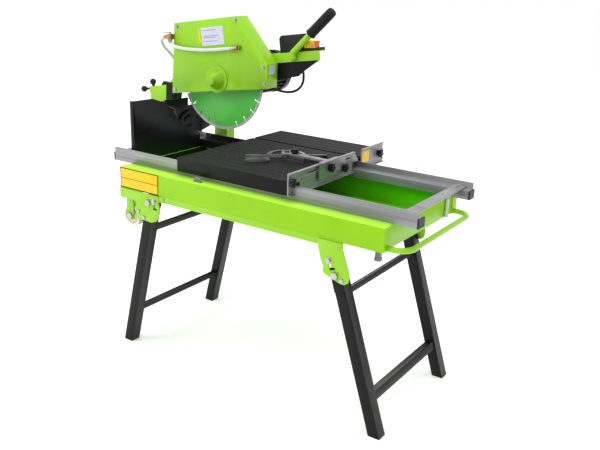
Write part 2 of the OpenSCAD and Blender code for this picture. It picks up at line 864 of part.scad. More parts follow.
module motor_bearings() {
  on_head() color(zinc) translate([blade_c[0], 0, blade_c[1]]) rotate([-90, 0, 0])
    for (y = [motor_y0, motor_y1])
      translate([0, 0, y]) difference() {
        cylinder(r = 20, h = 6);
        translate([0, 0, -1]) cylinder(r = 12.5 + fit, h = 10);
      }
}

module switch_box() {
  on_head() color(black) {
    difference() {
      plate_xz([[566, 105], [566, 150], [574, 160], [655, 160], [655, 105]], guard_y1 + 8, 262);
      block([570, guard_y1 + 11, 108], [652, 259, 156]);
    }
    difference() {
      block([656, guard_y1 + 2, 105], [720, 252, 114]);
      block([701, guard_y1 + 4, 107], [717, 232, 115]);
      block([667, guard_y1 + 11, 107], [683, 239, 115]);
    }
  }
}

module switch_flap() {
  on_head() color([0.95, 0.78, 0.1]) {
    difference() {
      union() {
        plate_xz([[664, 115], [664, 134], [668, 138], [684, 138], [688, 134], [688, 115]],
                 guard_y1 + 4, 246);
        rod_y([664, guard_y1 + 4, 136], 2.5, 30);
      }
      block([666, guard_y1 + 6, 114], [686, 244, 132]);
    }
  }
}

module start_button() {
  on_head() color([0.15, 0.6, 0.25]) rod_z([675, guard_y1 + 19, 110.5], 7, 3.6);
}

module stop_button() {
  on_head() color([0.85, 0.2, 0.1]) {
    rod_z([709, guard_y1 + 12, 111.2], 7, 16);
    rod_z([709, guard_y1 + 12, 127.2], 9, 7);
  }
}

module valve_body() {
  on_head() color([0.72, 0.55, 0.22]) {
    difference() {
      union() {
        rod_x([128, 150, 190], 7.5, 16);
        rod_x([144, 150, 190], 10, 20);
        rod_z([158, 143, 176], 7.5, 8);
      }
      rod_z([155, 150, 195], 4 + fit, 20);
    }
    block([164, 150, 182], [171, guard_y0, 198]);
    rod_y([452, 143, 134], 7.5, 11);
    rod_x([440, 143, 134], 7, 12);
    rod_z([102, 234, 28], 9, 12);
    block([94, 218, 22], [110, 242, 28]);
  }
}

module valve_lever() {
  on_head() color([0.72, 0.73, 0.74]) {
    rod_z([155, 150, 196], 4, 8);
    block([124, 146, 204], [160, 154, 207]);
  }
}

module water_hoses() {
  on_head() color([0.85, 0.88, 0.88]) {
    hose(guard_route, hose_r);
    hose(supply_route, hose_r);
  }
}

module motor_cable() {
  on_head() color([0.08, 0.08, 0.08]) hose(cable_route, cable_r);
}

module blade() {
  slots = 24;
  r = blade_d / 2;
  on_head() translate([blade_c[0], blade_y, blade_c[1]]) rotate([90, 0, 0]) difference() {
    union() {
      color([0.35, 0.72, 0.28]) translate([0, 0, -blade_t / 2]) cylinder(r = r - 8, h = blade_t, $fn = 96);
      color(silver) difference() {
        translate([0, 0, -rim_t / 2]) cylinder(r = r, h = rim_t, $fn = 96);
        translate([0, 0, -5]) cylinder(r = r - 9, h = 10, $fn = 96);
      }
    }
    translate([0, 0, -5]) cylinder(r = 12.7, h = 10);
    for (i = [0 : slots - 1])
      rotate(i * 360 / slots) {
        translate([r - 20, -1.6, -5]) cube([30, 3.2, 10]);
        translate([r - 20, 0, -5]) cylinder(r = 3, h = 10, $fn = 24);
      }
  }
}

module blade_flanges() {
  h = blade_t / 2;
  on_head() color(zinc) translate([blade_c[0], blade_y, blade_c[1]]) rotate([90, 0, 0]) {
    for (s = [-1, 1])
      difference() {
        translate([0, 0, s > 0 ? h : -h - 8]) cylinder(r = 30, h = 8);
        translate([0, 0, -20]) cylinder(r = 12.7, h = 40);
      }
    difference() {
      translate([0, 0, h + 8]) cylinder(r = 18, h = 10, $fn = 6);
      translate([0, 0, h]) cylinder(r = 12.7, h = 20);
    }
  }
}

module motor_rotor() {
  blade_side = blade_y - blade_t / 2 - 22;
  on_head() color([0.6, 0.6, 0.62]) translate([blade_c[0], 0, blade_c[1]]) rotate([-90, 0, 0]) {
    translate([0, 0, blade_side]) cylinder(r = 12.7, h = 42);
    translate([0, 0, blade_side + 42]) cylinder(r = 12.5, h = motor_y1 + 18 - blade_side - 42);
    translate([0, 0, motor_y0 + 50]) cylinder(r = 32, h = 140);
    for (i = [0 : 6])
      rotate(i * 360 / 7) translate([10, -1.5, motor_y1 + 8]) cube([54, 3, 10]);
  }
}

// ---------- lock of the plunge pivot ----------
module pivot_knob() {
  on_head() color(black) translate([-69, 222, 12]) rotate([0, -90, 0]) ball_knob(29);
}

module depth_knob() {
  on_head() color(black) translate([-30, 222, 25]) ball_knob(18);
}

tub();
base_frame();
hinge_plates();
frame_bolts();
rails();
rail_end_plugs();
crossbars();
tow_handle();
drain_fitting();
splash_guard();
tilt_bracket();
level_tube();
side_panel();
left_leg_frame();
right_leg_frame();
front_wheel();
rear_wheel();
drain_plug();
table_tray();
table_mat();
fence();
roller_axles();
front_left_roller();
front_right_roller();
rear_left_roller();
rear_right_roller();
fence_front_knob();
fence_rear_knob();
gauge_carriage();
carriage_knob();
bar_knob();
gauge_arms();
angle_knob();
tilt_frame();
handle_gusset();
plunge_shaft();
tilt_knob();
head_frame();
guard_shell();
guard_flap();
arbor_cover();
guard_screws();
motor_housing();
motor_cover();
motor_bearings();
handle_grip();
switch_box();
valve_body();
water_hoses();
motor_cable();
blade();
blade_flanges();
motor_rotor();
switch_flap();
start_button();
stop_button();
valve_lever();
pivot_knob();
depth_knob();
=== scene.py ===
"""Looks for the wet tile and stone saw: camera, light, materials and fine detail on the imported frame."""

import json
import math

import bmesh
import bpy
from mathutils import Matrix, Vector


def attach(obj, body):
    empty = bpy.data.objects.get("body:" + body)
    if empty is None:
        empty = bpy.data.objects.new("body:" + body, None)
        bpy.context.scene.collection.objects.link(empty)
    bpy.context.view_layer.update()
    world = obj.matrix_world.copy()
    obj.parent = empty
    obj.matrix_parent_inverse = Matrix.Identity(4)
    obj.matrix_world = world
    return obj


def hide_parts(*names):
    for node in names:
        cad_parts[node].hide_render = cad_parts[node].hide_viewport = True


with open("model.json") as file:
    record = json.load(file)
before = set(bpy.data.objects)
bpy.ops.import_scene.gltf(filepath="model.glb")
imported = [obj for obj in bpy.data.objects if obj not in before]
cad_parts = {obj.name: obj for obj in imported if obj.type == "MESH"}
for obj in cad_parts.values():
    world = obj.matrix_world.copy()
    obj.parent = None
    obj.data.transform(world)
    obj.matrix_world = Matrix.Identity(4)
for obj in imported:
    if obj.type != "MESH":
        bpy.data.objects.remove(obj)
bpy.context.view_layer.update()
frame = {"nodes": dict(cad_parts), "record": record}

# Working frame of the CAD source: millimetres, origin below the middle of the tub.
SHIFT = Vector((0.14045, -0.134, 0.0))
PIVOT = Vector((-727.0, 0.0, 762.0))
RAISE = math.radians(8.4)
BLADE = (335.0, 188.0, 37.0)
TABLE_X = (-262.0, 150.0)
TABLE_Y = (-191.0, 348.0)
SLOT_Y = (181.5, 194.5)
TABLE_TOP = 662.0
MOTOR_END_Y = 470
GUARD_FACE_Y = 154.0

# Camera: its turn in degrees, its lens in millimetres and its place in the working frame.
CAMERA_TURN = (33.55, 18.76, 2.02)
CAMERA_LENS = 45.84
CAMERA_PLACE = (1289.5, -1848.2, 1221.6)

# Floor: half its side and its depth below the feet in metres, and how much it glows.
FLOOR_HALF = 9
FLOOR_DROP = 0.001
FLOOR_GLOW = 0.22

# Radii in metres between which the blade's core turns into its bright rim.
RIM_START, RIM_END = 0.1655, 0.1665

# Angle in degrees above which an edge is rounded, or stays sharp on a smooth piece.
EDGE_ANGLE = 38

# Nodes whose finish isn't the one that their slot names; the tub's paint carries painted shade inside and a
# painted highlight on its rim.
FINISH_OF = {"tub": "tub_green_painted_light", "gauge_arms": "gauge_dark"}


def at(x, y, z):
    """A point of the working frame, in metres in the row frame."""
    return Vector((x, y, z)) / 1000 + SHIFT


def on_head(x, y, z):
    """A point given from the head's pivot with the head level, at its rest position."""
    c, s = math.cos(RAISE), math.sin(RAISE)
    return at(PIVOT.x + x * c - z * s, y, PIVOT.z + x * s + z * c)


def head_turn():
    """Rotation of the head at rest."""
    return Matrix.Rotation(-RAISE, 4, "Y")


# ---------------------------------------------------------------- camera and light
def add_camera():
    """The camera at the photograph's viewing angle."""
    yaw, pitch, roll = (math.radians(a) for a in CAMERA_TURN)
    flat = math.cos(pitch)
    forward = Vector((-math.sin(yaw) * flat, math.cos(yaw) * flat, -math.sin(pitch)))
    level = Vector((math.cos(yaw), math.sin(yaw), 0))
    rise = level.cross(forward)
    right = level * math.cos(roll) + rise * math.sin(roll)
    up = rise * math.cos(roll) - level * math.sin(roll)
    data = bpy.data.cameras.new("camera")
    data.lens = CAMERA_LENS
    data.sensor_width = 36
    data.sensor_fit = "HORIZONTAL"
    camera = bpy.data.objects.new("camera", data)
    bpy.context.collection.objects.link(camera)
    turn = Matrix((right, up, -forward)).transposed().to_4x4()
    camera.matrix_world = Matrix.Translation(at(*CAMERA_PLACE)) @ turn
    bpy.context.scene.camera = camera


def add_light(name, place, target, size, power):
    """A rectangular soft light at a place, facing a target."""
    data = bpy.data.lights.new(name, "AREA")
    data.shape = "RECTANGLE"
    data.size, data.size_y = size
    data.energy = power
    lamp = bpy.data.objects.new(name, data)
    bpy.context.collection.objects.link(lamp)
    lamp.location = place
    lamp.rotation_euler = (Vector(target) - Vector(place)).to_track_quat("-Z", "Y").to_euler()


def add_studio():
    """White surroundings and two soft lights."""
    world = bpy.data.worlds.new("studio")
    bpy.context.scene.world = world
    world.use_nodes = True
    sky = world.node_tree.nodes["Background"]
    sky.inputs["Color"].default_value = (1, 1, 1, 1)
    sky.inputs["Strength"].default_value = 1.0
    add_light("key", (-1.9, -2.4, 3.0), (0, 0, 0.6), (1.6, 1.6), 55)
    add_light("top", (0.3, 0.2, 3.4), (0, 0, 0.6), (1.6, 1.6), 42)
    bpy.context.scene.view_settings.view_transform = "Standard"


def add_floor():
    """A pale floor just below the feet."""
    bm = bmesh.new()
    bm.faces.new([bm.verts.new((x * FLOOR_HALF, y * FLOOR_HALF, -FLOOR_DROP))
                  for x, y in ((-1, -1), (1, -1), (1, 1), (-1, 1))])
    mesh = bpy.data.meshes.new("floor")
    bm.to_mesh(mesh)
    bm.free()
    floor = bpy.data.objects.new("floor", mesh)
    bpy.context.collection.objects.link(floor)
    glow = MATERIALS["floor"].node_tree.nodes["Principled BSDF"]
    glow.inputs["Emission Color"].default_value = (1, 1, 1, 1)
    glow.inputs["Emission Strength"].default_value = FLOOR_GLOW
    mesh.materials.append(MATERIALS["floor"])


# ---------------------------------------------------------------- materials
def link(tree, a, out, b, into):
    """Joins an output of node a to an input of node b."""
    tree.links.new(a.outputs[out], b.inputs[into])


def surface(name, colour, rough=0.4, metal=0.0, vary=0.08, grain=6.0, stretch=(1, 1, 1),
            bump=0.06, bump_scale=260.0, wear=None, wear_at=0.68, coat=0.0, clear=0.0, shine=0.5):
    """Procedural finish: drifting colour, worn specks, uneven gloss and a fine bump."""
    m = bpy.data.materials.new(name)
    m.use_nodes = True
    tree = m.node_tree
    shader = tree.nodes["Principled BSDF"]
    shader.inputs["Metallic"].default_value = metal
    shader.inputs["Coat Weight"].default_value = coat
    shader.inputs["Coat Roughness"].default_value = 0.12
    shader.inputs["Transmission Weight"].default_value = clear
    shader.inputs["Specular IOR Level"].default_value = shine
    place = tree.nodes.new("ShaderNodeTexCoord")
    scale = tree.nodes.new("ShaderNodeMapping")
    scale.inputs["Scale"].default_value = stretch
    link(tree, place, "Object", scale, "Vector")

    drift = tree.nodes.new("ShaderNodeTexNoise")
    drift.inputs["Scale"].default_value = grain
    drift.inputs["Detail"].default_value = 5
    link(tree, scale, "Vector", drift, "Vector")
    tint = tree.nodes.new("ShaderNodeValToRGB")
    tint.color_ramp.elements[0].position = 0.3
    tint.color_ramp.elements[1].position = 0.7
    tint.color_ramp.elements[0].color = [c * (1 - vary) for c in colour] + [1]
    tint.color_ramp.elements[1].color = [min(1, c * (1 + vary)) for c in colour] + [1]
    link(tree, drift, "Fac", tint, "Fac")
    last = tint

    fine = tree.nodes.new("ShaderNodeTexNoise")
    fine.inputs["Scale"].default_value = bump_scale
    fine.inputs["Detail"].default_value = 3
    link(tree, scale, "Vector", fine, "Vector")

    if wear is not None:
        specks = tree.nodes.new("ShaderNodeTexNoise")
        specks.inputs["Scale"].default_value = 42
        specks.inputs["Detail"].default_value = 9
        specks.inputs["Roughness"].default_value = 0.72
        link(tree, place, "Object", specks, "Vector")
        mask = tree.nodes.new("ShaderNodeMapRange")
        mask.inputs["From Min"].default_value = wear_at
        mask.inputs["From Max"].default_value = wear_at + 0.06
        link(tree, specks, "Fac", mask, "Value")
        worn = tree.nodes.new("ShaderNodeMixRGB")
        worn.inputs["Color2"].default_value = (*wear, 1)
        link(tree, mask, "Result", worn, "Fac")
        link(tree, tint, "Color", worn, "Color1")
        last = worn
    link(tree, last, "Color", shader, "Base Color")

    gloss = tree.nodes.new("ShaderNodeMapRange")
    gloss.inputs["To Min"].default_value = max(0.05, rough - 0.09)
    gloss.inputs["To Max"].default_value = min(1, rough + 0.12)
    link(tree, drift, "Fac", gloss, "Value")
    link(tree, gloss, "Result", shader, "Roughness")

    relief = tree.nodes.new("ShaderNodeBump")
    relief.inputs["Strength"].default_value = bump
    relief.inputs["Distance"].default_value = 0.0006
    link(tree, fine, "Fac", relief, "Height")
    link(tree, relief, "Normal", shader, "Normal")
    return m


def blade_finish():
    """Green blade core and its bright gritty rim, by radius."""
    m = surface("blade", (0.075, 0.46, 0.055), rough=0.38, vary=0.12, grain=9, bump=0.05, bump_scale=300)
    tree = m.node_tree
    shader = tree.nodes["Principled BSDF"]
    core = shader.inputs["Base Color"].links[0].from_node
    place = tree.nodes.new("ShaderNodeTexCoord")
    offset = tree.nodes.new("ShaderNodeVectorMath")
    offset.operation = "SUBTRACT"
    offset.inputs[1].default_value = on_head(*BLADE)
    link(tree, place, "Object", offset, 0)
    flat = tree.nodes.new("ShaderNodeVectorMath")
    flat.operation = "MULTIPLY"
    flat.inputs[1].default_value = (1, 0, 1)
    link(tree, offset, "Vector", flat, 0)
    radius = tree.nodes.new("ShaderNodeVectorMath")
    radius.operation = "LENGTH"
    link(tree, flat, "Vector", radius, 0)
    rim = tree.nodes.new("ShaderNodeMapRange")
    rim.inputs["From Min"].default_value = RIM_START
    rim.inputs["From Max"].default_value = RIM_END
    link(tree, radius, "Value", rim, "Value")
    grit = tree.nodes.new("ShaderNodeTexNoise")
    grit.inputs["Scale"].default_value = 900
    link(tree, place, "Object", grit, "Vector")
    metal = tree.nodes.new("ShaderNodeValToRGB")
    metal.color_ramp.elements[0].position = 0.35
    metal.color_ramp.elements[1].position = 0.65
    metal.color_ramp.elements[0].color = (0.22, 0.22, 0.22, 1)
    metal.color_ramp.elements[1].color = (0.60, 0.60, 0.59, 1)
    link(tree, grit, "Fac", metal, "Fac")
    mix = tree.nodes.new("ShaderNodeMixRGB")
    link(tree, rim, "Result", mix, "Fac")
    link(tree, core, "Color", mix, "Color1")
    link(tree, metal, "Color", mix, "Color2")
    link(tree, mix, "Color", shader, "Base Color")
    return m


def tub_paint_with_painted_light(green):
    """The tub's paint, with painted shade inside it (a deeper green) and a painted highlight on its rim (a
    lighter green).
    """
    m = surface("tub_green_painted_light", green, rough=0.30, vary=0.06, bump=0.05, bump_scale=420,
                wear=(0.13, 0.29, 0.006), wear_at=0.74, shine=0.2)
    tree = m.node_tree
    shader = tree.nodes["Principled BSDF"]
    last = shader.inputs["Base Color"].links[0].from_node
    place = tree.nodes.new("ShaderNodeTexCoord")
    split = tree.nodes.new("ShaderNodeSeparateXYZ")
    link(tree, place, "Object", split, "Vector")
    painted_shade_masks = []
    # Which points lie inside the tub, where the shade is painted.
    for axis, shift, low, high in (("Y", SHIFT.y, 0.1835, 0.1825), ("X", SHIFT.x, 0.4648, 0.4640)):
        middle = tree.nodes.new("ShaderNodeMath")
        middle.operation = "SUBTRACT"
        middle.inputs[1].default_value = shift
        link(tree, split, axis, middle, 0)
        away = tree.nodes.new("ShaderNodeMath")
        away.operation = "ABSOLUTE"
        link(tree, middle, "Value", away, 0)
        painted_shade_masks.append(tree.nodes.new("ShaderNodeMapRange"))
        painted_shade_masks[-1].inputs["From Min"].default_value = low
        painted_shade_masks[-1].inputs["From Max"].default_value = high
        link(tree, away, "Value", painted_shade_masks[-1], "Value")
    inside = tree.nodes.new("ShaderNodeMath")
    inside.operation = "MULTIPLY"
    link(tree, painted_shade_masks[0], "Result", inside, 0)
    link(tree, painted_shade_masks[1], "Result", inside, 1)
    rim = tree.nodes.new("ShaderNodeMapRange")
    rim.inputs["From Min"].default_value = 0.6062
    rim.inputs["From Max"].default_value = 0.6066
    link(tree, split, "Z", rim, "Value")
    # Painted shade: a deeper green inside the tub. Painted highlight: a lighter green on the rim, above 606
    # mm.
    for mask, socket, colour in ((inside, "Value", (0.12, 0.58, 0.003, 1)),
                                 (rim, "Result", (0.40, 0.80, 0.045, 1))):
        mix = tree.nodes.new("ShaderNodeMixRGB")
        mix.inputs["Color2"].default_value = colour
        link(tree, mask, socket, mix, "Fac")
        link(tree, last, "Color", mix, "Color1")
        last = mix
    link(tree, last, "Color", shader, "Base Color")
    return m


def make_materials():
    """Every finish by name; the record's slots are among them."""
    green = (0.235, 0.50, 0.004)
    return {
        "green_paint": surface("green_paint", green, rough=0.30, vary=0.06, bump=0.05, bump_scale=420,
                               wear=(0.13, 0.29, 0.006), wear_at=0.74, coat=0.12, shine=0.35),
        "black_paint": surface("black_paint", (0.0048, 0.0048, 0.0052), rough=0.38, vary=0.25, bump=0.08,
                               bump_scale=380, wear=(0.02, 0.02, 0.021), wear_at=0.72, shine=0.16),
        "black_sheet": surface("black_sheet", (0.006, 0.006, 0.007), rough=0.27, vary=0.3, bump=0.04,
                               bump_scale=90, wear=(0.02, 0.02, 0.021), wear_at=0.73, shine=0.25),
        "rail_aluminium": surface("rail_aluminium", (0.27, 0.272, 0.28), rough=0.36, metal=0.6, vary=0.30,
                                  grain=9, stretch=(0.25, 9, 9), bump=0.10, bump_scale=90,
                                  wear=(0.22, 0.22, 0.23), wear_at=0.74),
        "fence_aluminium": surface("fence_aluminium", (0.25, 0.25, 0.255), rough=0.42, metal=0.45, vary=0.22,
                                   grain=18, stretch=(6, 0.5, 14), bump=0.12, bump_scale=80,
                                   wear=(0.12, 0.12, 0.122), wear_at=0.66),
        "zinc": surface("zinc", (0.42, 0.42, 0.41), rough=0.30, metal=0.95, vary=0.12, grain=60, bump=0.08,
                        wear=(0.30, 0.27, 0.22), wear_at=0.72),
        "black_plastic": surface("black_plastic", (0.009, 0.009, 0.010), rough=0.42, vary=0.2, grain=30,
                                 bump=0.16, bump_scale=700, wear=(0.03, 0.03, 0.03), wear_at=0.74,
                                 shine=0.25),
        "drain_grey": surface("drain_grey", (0.16, 0.165, 0.17), rough=0.45, vary=0.12, grain=40, bump=0.12,
                              wear=(0.24, 0.24, 0.23), wear_at=0.72),
        "clear_hose": surface("clear_hose", (0.62, 0.67, 0.66), rough=0.22, vary=0.05, grain=25, bump=0.05,
                              bump_scale=160, wear=(0.52, 0.57, 0.55), wear_at=0.72, coat=0.3, clear=0.15),
        "yellow_panel": surface("yellow_panel", (0.82, 0.47, 0.004), rough=0.32, vary=0.05, grain=20,
                                bump=0.03, wear=(0.62, 0.36, 0.01), wear_at=0.75, coat=0.1, shine=0.3),
        "cream_plastic": surface("cream_plastic", (0.66, 0.62, 0.50), rough=0.48, vary=0.08, grain=30,
                                 bump=0.10, wear=(0.45, 0.41, 0.31), wear_at=0.70),
        "mat_rubber": surface("mat_rubber", (0.0075, 0.0075, 0.008), rough=0.62, vary=0.3, grain=22,
                              bump=0.30, bump_scale=520, wear=(0.026, 0.026, 0.025), wear_at=0.68, shine=0.2),
        "motor_black": surface("motor_black", (0.008, 0.008, 0.009), rough=0.40, vary=0.3, grain=26,
                               bump=0.22, bump_scale=460, wear=(0.025, 0.025, 0.026), wear_at=0.72,
                               shine=0.25),
        "valve_brass": surface("valve_brass", (0.40, 0.27, 0.10), rough=0.28, metal=0.95, vary=0.12, grain=50,
                               bump=0.08, wear=(0.22, 0.15, 0.06), wear_at=0.70),
        "cable_rubber": surface("cable_rubber", (0.008, 0.008, 0.0085), rough=0.45, vary=0.2, grain=60,
                                bump=0.12, bump_scale=600, wear=(0.02, 0.02, 0.02), wear_at=0.74, shine=0.25),
        "rotor_steel": surface("rotor_steel", (0.38, 0.38, 0.40), rough=0.30, metal=0.95, vary=0.10, grain=40,
                               bump=0.08, wear=(0.22, 0.20, 0.16), wear_at=0.72),
        "button_green": surface("button_green", (0.015, 0.22, 0.045), rough=0.30, vary=0.08, grain=60,
                                bump=0.04, wear=(0.04, 0.27, 0.08), wear_at=0.74, coat=0.2),
        "button_red": surface("button_red", (0.70, 0.10, 0.012), rough=0.30, vary=0.08, grain=60, bump=0.04,
                              wear=(0.75, 0.22, 0.07), wear_at=0.72, coat=0.2),
        "label_white": surface("label_white", (0.50, 0.51, 0.60), rough=0.35, vary=0.04, grain=30, bump=0.03,
                               wear=(0.42, 0.42, 0.49), wear_at=0.74),
        "label_grey": surface("label_grey", (0.24, 0.24, 0.36), rough=0.40, vary=0.08, grain=60, bump=0.02,
                              wear=(0.34, 0.34, 0.44), wear_at=0.72),
        "floor": surface("floor", (0.98, 0.98, 0.98), rough=0.8, vary=0.004, bump=0.02, shine=0.1),
        # The tub's paint carries painted shade inside and a painted highlight on its rim.
        "tub_green_painted_light": tub_paint_with_painted_light(green),
        "gauge_dark": surface("gauge_dark", (0.05, 0.05, 0.052), rough=0.4, metal=0.3, vary=0.2, grain=20,
                              bump=0.08, wear=(0.12, 0.12, 0.12), wear_at=0.68),
        "blade_steel": blade_finish(),
    }


# ---------------------------------------------------------------- building helpers
def add_mesh(name, bm, body, finish, bevel=0.0, smooth=False):
    """A new piece from a bmesh, riding on a body, with rounded edges."""
    mesh = bpy.data.meshes.new(name)
    bmesh.ops.recalc_face_normals(bm, faces=bm.faces)
    bm.to_mesh(mesh)
    bm.free()
    piece = bpy.data.objects.new(name, mesh)
    bpy.context.collection.objects.link(piece)
    mesh.materials.append(MATERIALS[finish])
    round_edges(piece, bevel, smooth)
    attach(piece, body)
    return piece


def round_edges(piece, bevel, smooth=False):
    """Smooth shading, sharp edges kept, and a small rounding where one is asked for."""
    for face in piece.data.polygons:
        face.use_smooth = smooth or bevel > 0
    if smooth:
        piece.data.set_sharp_from_angle(angle=math.radians(EDGE_ANGLE))
    if bevel > 0:
        mod = piece.modifiers.new("edges", "BEVEL")
        mod.width = bevel
        mod.segments = 2
        mod.limit_method = "ANGLE"
        mod.angle_limit = math.radians(EDGE_ANGLE)
        mod.harden_normals = True


def add_box(bm, low, high, place=at):
    """A box from its lowest to its highest corner, in the frame that place maps from."""
    corners = [place(x, y, z) for x in (low[0], high[0]) for y in (low[1], high[1])
               for z in (low[2], high[2])]
    v = [bm.verts.new(c) for c in corners]
    for face in ((0, 1, 3, 2), (4, 6, 7, 5), (0, 4, 5, 1), (2, 3, 7, 6), (0, 2, 6, 4), (1, 5, 7, 3)):
        bm.faces.new([v[i] for i in face])


def add_turned(bm, start, axis, profile, steps=28):
    """A turned shape: profile is a list of (distance along the axis, radius) in millimetres."""
    axis = Vector(axis).normalized()
    side = axis.orthogonal().normalized()
    other = axis.cross(side)
    rings = []
    for along, radius in profile:
        centre = start + axis * along / 1000
        rings.append([bm.verts.new(centre + (side * math.cos(a) + other * math.sin(a)) * radius / 1000)
                      for a in (2 * math.pi * i / steps for i in range(steps))])
    for a, b in zip(rings, rings[1:]):
        for i in range(steps):
            j = (i + 1) % steps
            bm.faces.new((a[i], a[j], b[j], b[i]))
    bm.faces.new(rings[0][::-1])
    bm.faces.new(rings[-1])


def dress(node, bevel=0.0007):
    """A copy of a CAD node with rounded edges stands for that node."""
    source = frame["nodes"][node]
    bm = bmesh.new()
    bm.from_mesh(source.data)
    bmesh.ops.remove_doubles(bm, verts=bm.verts, dist=0.00001)
    bmesh.ops.dissolve_limit(bm, angle_limit=math.radians(0.6), verts=bm.verts, edges=bm.edges)
    piece = add_mesh(node + "_look", bm, BODY_OF[node], FINISH_OF.get(node, SLOT_OF[node]), bevel)
    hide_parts(node)


def add_plates(name, boxes, body, finish, bevel=0.0, place=at):
    """A piece made of boxes, each given by its lowest and its highest corner."""
    bm = bmesh.new()
    for low, high in boxes:
        add_box(bm, low, high, place)
    add_mesh(name, bm, body, finish, bevel)


def tube(name, points, radius, body, finish):
    """A smooth round tube through points of the row frame."""
    data = bpy.data.curves.new(name, "CURVE")
    data.dimensions = "3D"
    data.bevel_depth = radius
    data.bevel_resolution = 5
    data.resolution_u = 6
    data.use_fill_caps = True
    line = data.splines.new("NURBS")
    line.points.add(len(points) - 1)
    for p, q in zip(line.points, points):
        p.co = (*q, 1)
    line.use_endpoint_u = True
    line.order_u = 4
    piece = bpy.data.objects.new(name, data)
    bpy.context.collection.objects.link(piece)
    data.materials.append(MATERIALS[finish])
    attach(piece, body)
    return piece


BODY_OF = {n: b for b, nodes in frame["record"]["behaviour"]["bodies"].items() for n in nodes}
SLOT_OF = {p["node"]: p["material_slot"] for p in frame["record"]["subparts"]}

MATERIALS = make_materials()
add_camera()
add_studio()
add_floor()

# ---------------------------------------------------------------- hoses and cable
GUARD_HOSE = [
    (158, 143, 176), (158, 143, 171), (161, 143, 165), (168, 143, 159), (180, 143, 155),
    (196, 143, 151), (216, 143, 147), (240, 143, 143), (266, 143, 140), (294, 143, 137),
    (322, 143, 135), (350, 143, 134), (378, 143, 134), (404, 143, 134), (426, 143, 134),
    (440, 143, 134)]
SUPPLY_HOSE = [
    (128, 150, 190), (119, 150, 190), (111, 151, 185), (106, 154, 176), (104, 160, 166),
    (104, 169, 155), (106, 180, 143), (107, 192, 131), (107, 204, 118), (106, 215, 104), (105, 224, 90),
    (104, 230, 76), (103, 233, 62), (102, 234, 50), (102, 234, 40)]
MOTOR_CABLE = [
    (435, 262, 12), (444, 262, 12), (456, 259, 6), (480, 255, -4), (505, 252, -12), (532, 250, -20),
    (561, 249, -25), (590, 249, -23), (612, 249, -12), (626, 248, 3), (633, 246, 24), (634, 243, 45),
    (631, 240, 65), (629, 238, 84), (629, 238, 102)]
hose_a = tube("guard_hose_look", [on_head(*p) for p in GUARD_HOSE], 0.006, "head", "clear_hose")
hose_b = tube("supply_hose_look", [on_head(*p) for p in SUPPLY_HOSE], 0.006, "head", "clear_hose")
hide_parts("water_hoses")
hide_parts("water_hoses")
cable = tube("motor_cable_look", [on_head(*p) for p in MOTOR_CABLE], 0.004, "head", "cable_rubber")
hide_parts("motor_cable")

# ---------------------------------------------------------------- CAD nodes kept, with a finish
for node, slot in SLOT_OF.items():
    obj = frame["nodes"][node]
    if not obj.material_slots:
        obj.data.materials.append(MATERIALS[slot])
    for s in obj.material_slots:
        s.link = "OBJECT"
        s.material = MATERIALS[slot]

# The handle gusset's slot gives it black paint: that black is painted shade under the handle bracket, on a
# part of painted steel.
for node in ("tub", "base_frame", "hinge_plates", "rails", "crossbars", "left_leg_frame",
             "right_leg_frame", "table_tray", "fence", "gauge_carriage", "gauge_arms", "guard_shell",
             "arbor_cover", "head_frame", "splash_guard", "handle_gusset", "tilt_bracket",
             "tilt_frame", "side_panel", "switch_box", "tow_handle"):
    dress(node)


# ---------------------------------------------------------------- table mat
def build_mat():
    """Rubber mat with flat ribs along X and narrow grooves, in front of the slot and behind it."""
    bm = bmesh.new()
    for y0, y1, ribs in ((TABLE_Y[0] + 2.5, SLOT_Y[0], 12), (SLOT_Y[1], TABLE_Y[1] - 2.5, 5)):
        pitch = (y1 - y0) / ribs
        outline = [(y0, TABLE_TOP - 4), (y0, TABLE_TOP)]
        for i in range(1, ribs):
            a = y0 + i * pitch
            outline += [(a - 1.6, TABLE_TOP), (a - 1.1, TABLE_TOP - 1.2), (a + 1.1, TABLE_TOP - 1.2),
                        (a + 1.6, TABLE_TOP)]
        outline += [(y1, TABLE_TOP), (y1, TABLE_TOP - 4)]
        ends = [[bm.verts.new(at(x, y, z)) for y, z in outline] for x in TABLE_X]
        count = len(outline)
        for i in range(count):
            j = (i + 1) % count
            bm.faces.new((ends[0][i], ends[0][j], ends[1][j], ends[1][i]))
        bm.faces.new(ends[0][::-1])
        bm.faces.new(ends[1])
    piece = add_mesh("table_mat_look", bm, "table", "mat_rubber")
    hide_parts("table_mat")


build_mat()


# ---------------------------------------------------------------- head details
def build_grip():
    """Rubber grip with soft rings, a collar and a domed end."""
    axis = head_turn() @ Vector((72, 0, 51)).normalized()
    profile = [(1, 14.6), (2, 16.7), (6, 16.7), (7.6, 15.2)]
    for i in range(13):
        a = 9 + i * 7
        profile += [(a, 15.2), (a + 1.4, 15.9), (a + 4.2, 15.9), (a + 5.6, 15.2)]
    profile += [(103, 15.4), (107, 14.6), (109.6, 13.2), (111, 10.6)]
    bm = bmesh.new()
    add_turned(bm, on_head(700, 202, 155), axis, profile)
    piece = add_mesh("handle_grip_look", bm, "head", "mat_rubber", smooth=True)
    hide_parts("handle_grip")


